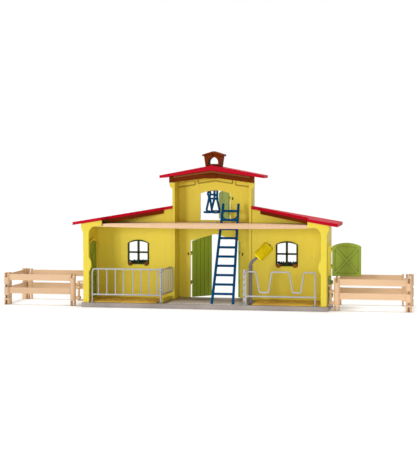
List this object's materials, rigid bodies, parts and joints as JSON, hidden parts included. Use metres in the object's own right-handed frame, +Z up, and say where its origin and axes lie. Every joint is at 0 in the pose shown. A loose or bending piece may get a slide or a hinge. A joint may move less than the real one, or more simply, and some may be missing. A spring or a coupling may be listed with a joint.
{
  "type": "toy barn",
  "caption": "Toy barn with an open front, red pitched roofs, hinged green doors, stall fences, loft, ladder, dovecote and hinged paddock fences.",
  "frame": {"origin": "centre of the wing rectangle of the base, on the base's underside", "axes": "+X along the barn to the right as seen from its open front, +Y from the open front to the door facade, +Z up"},
  "size_m": [0.8266, 0.2029, 0.3135],
  "materials": {
    "wall_yellow": "moulded boards with a fine matt grain",
    "roof_red": "smooth satin moulding",
    "timber_brown": "matt moulding with a timber grain",
    "facade_tan": "matt moulding",
    "door_green": "matt moulding with plank lines",
    "window_green": "matt moulding",
    "base_grey": "fine textured moulding",
    "straw_ochre": "rough moulded straw",
    "ladder_blue": "satin moulding",
    "rail_grey": "satin grey moulding",
    "brush_yellow": "bristled moulding",
    "post_dark": "matt dark moulding",
    "plant_green": "leafy moulding",
    "pin_steel": "plain drawn wire"
  },
  "bodies": {
    "barn": {"back_wall_left": "wall_yellow", "back_wall_right": "wall_yellow", "base_plate": "base_grey", "brush_post": "post_dark", "dovecote_body": "timber_brown", "dovecote_roof": "timber_brown", "facade": "wall_yellow", "feed_fence": "rail_grey", "flower_box_left": "timber_brown", "flower_box_right": "timber_brown", "gable_fascia": "timber_brown", "hoist_boom": "timber_brown", "ladder": "ladder_blue", "loft_door_pins": "pin_steel", "loft_floor": "facade_tan", "main_door_pins": "pin_steel", "paddock_clip_left": "facade_tan", "paddock_clip_right": "facade_tan", "pen_fence": "rail_grey", "roof_beam_left": "timber_brown", "roof_beam_right": "timber_brown", "side_door_pins_left": "pin_steel", "side_door_pins_right": "pin_steel", "side_wall_left": "wall_yellow", "side_wall_right": "wall_yellow", "stall_curb": "wall_yellow", "straw_mat_left": "straw_ochre", "straw_mat_right": "straw_ochre", "tower_roof": "roof_red", "tower_wall_left": "wall_yellow", "tower_wall_right": "wall_yellow", "window_frame_left": "window_green", "window_frame_right": "window_green", "window_plants_left": "plant_green", "window_plants_right": "plant_green", "wing_roof_left": "roof_red", "wing_roof_right": "roof_red"},
    "main_door_left": {"main_door_left": "door_green"},
    "main_door_right": {"main_door_right": "door_green"},
    "loft_door": {"loft_door": "door_green"},
    "pen_gate": {"pen_gate": "rail_grey"},
    "brush_arm": {"brush_arm": "post_dark"},
    "brush_roller": {"brush_roller": "brush_yellow"},
    "hoist_sling": {"hoist_sling": "ladder_blue"},
    "side_door_left_lower": {"side_door_left_lower": "door_green"},
    "side_door_left_upper": {"side_door_left_upper": "door_green"},
    "paddock_front_left": {"paddock_front_left": "facade_tan"},
    "paddock_side_left": {"paddock_side_left": "facade_tan"},
    "paddock_back_left": {"paddock_back_left": "facade_tan"},
    "side_door_right_lower": {"side_door_right_lower": "door_green"},
    "side_door_right_upper": {"side_door_right_upper": "door_green"},
    "paddock_front_right": {"paddock_front_right": "facade_tan"},
    "paddock_side_right": {"paddock_side_right": "facade_tan"},
    "paddock_back_right": {"paddock_back_right": "facade_tan"}
  },
  "joints": [
    {"name": "main_door_left_hinge", "type": "hinge", "parent": "barn", "child": "main_door_left", "pos_m": [-0.0525, 0.0948, 0.07], "axis": [0, 0, 1], "range_deg": [-50, 60]},
    {"name": "main_door_right_hinge", "type": "hinge", "parent": "barn", "child": "main_door_right", "pos_m": [0.0525, 0.0948, 0.07], "axis": [0, 0, -1], "range_deg": [-100, 10]},
    {"name": "loft_door_hinge", "type": "hinge", "parent": "barn", "child": "loft_door", "pos_m": [0.0315, 0.0948, 0.2], "axis": [0, 0, -1], "range_deg": [-12, 48]},
    {"name": "side_door_left_lower_hinge", "type": "hinge", "parent": "barn", "child": "side_door_left_lower", "pos_m": [-0.2478, 0.035, 0.038], "axis": [0, 0, -1], "range_deg": [0, 105]},
    {"name": "side_door_left_upper_hinge", "type": "hinge", "parent": "barn", "child": "side_door_left_upper", "pos_m": [-0.2478, 0.035, 0.099], "axis": [0, 0, -1], "range_deg": [0, 105]},
    {"name": "paddock_front_left_hinge", "type": "hinge", "parent": "barn", "child": "paddock_front_left", "pos_m": [-0.26, -0.031, 0.03], "axis": [0, 0, 1], "range_deg": [-4, 12]},
    {"name": "paddock_side_left_hinge", "type": "hinge", "parent": "paddock_front_left", "child": "paddock_side_left", "pos_m": [-0.412, -0.031, 0.03], "axis": [0, 0, 1], "range_deg": [-4, 15]},
    {"name": "paddock_back_left_hinge", "type": "hinge", "parent": "paddock_side_left", "child": "paddock_back_left", "pos_m": [-0.412, 0.084, 0.03], "axis": [0, 0, 1], "range_deg": [-3, 15]},
    {"name": "side_door_right_lower_hinge", "type": "hinge", "parent": "barn", "child": "side_door_right_lower", "pos_m": [0.2478, 0.035, 0.038], "axis": [0, 0, 1], "range_deg": [0, 105]},
    {"name": "side_door_right_upper_hinge", "type": "hinge", "parent": "barn", "child": "side_door_right_upper", "pos_m": [0.2478, 0.035, 0.099], "axis": [0, 0, 1], "range_deg": [-90, 15]},
    {"name": "paddock_front_right_hinge", "type": "hinge", "parent": "barn", "child": "paddock_front_right", "pos_m": [0.251, -0.031, 0.03], "axis": [0, 0, 1], "range_deg": [-12, 4]},
    {"name": "paddock_side_right_hinge", "type": "hinge", "parent": "paddock_front_right", "child": "paddock_side_right", "pos_m": [0.403, -0.031, 0.03], "axis": [0, 0, 1], "range_deg": [-15, 4]},
    {"name": "paddock_back_right_hinge", "type": "hinge", "parent": "paddock_side_right", "child": "paddock_back_right", "pos_m": [0.403, 0.084, 0.03], "axis": [0, 0, 1], "range_deg": [-15, 3]},
    {"name": "pen_gate_hinge", "type": "hinge", "parent": "barn", "child": "pen_gate", "pos_m": [-0.087, -0.045, 0.05], "axis": [0, 0, 1], "range_deg": [-71, 64]},
    {"name": "brush_arm_swivel", "type": "hinge", "parent": "barn", "child": "brush_arm", "pos_m": [0.092, -0.03, 0.077], "axis": [0, 0, 1], "range_deg": [-40, 40]},
    {"name": "brush_roller_spin", "type": "hinge", "parent": "brush_arm", "child": "brush_roller", "pos_m": [0.11284, -0.03, 0.10958], "axis": [0.6947, 0, 0.7193], "continuous": true},
    {"name": "hoist_sling_swing", "type": "hinge", "parent": "barn", "child": "hoist_sling", "pos_m": [-0.0105, 0.1025, 0.24], "axis": [1, 0, 0], "range_deg": [-5, 8]}
  ]
}
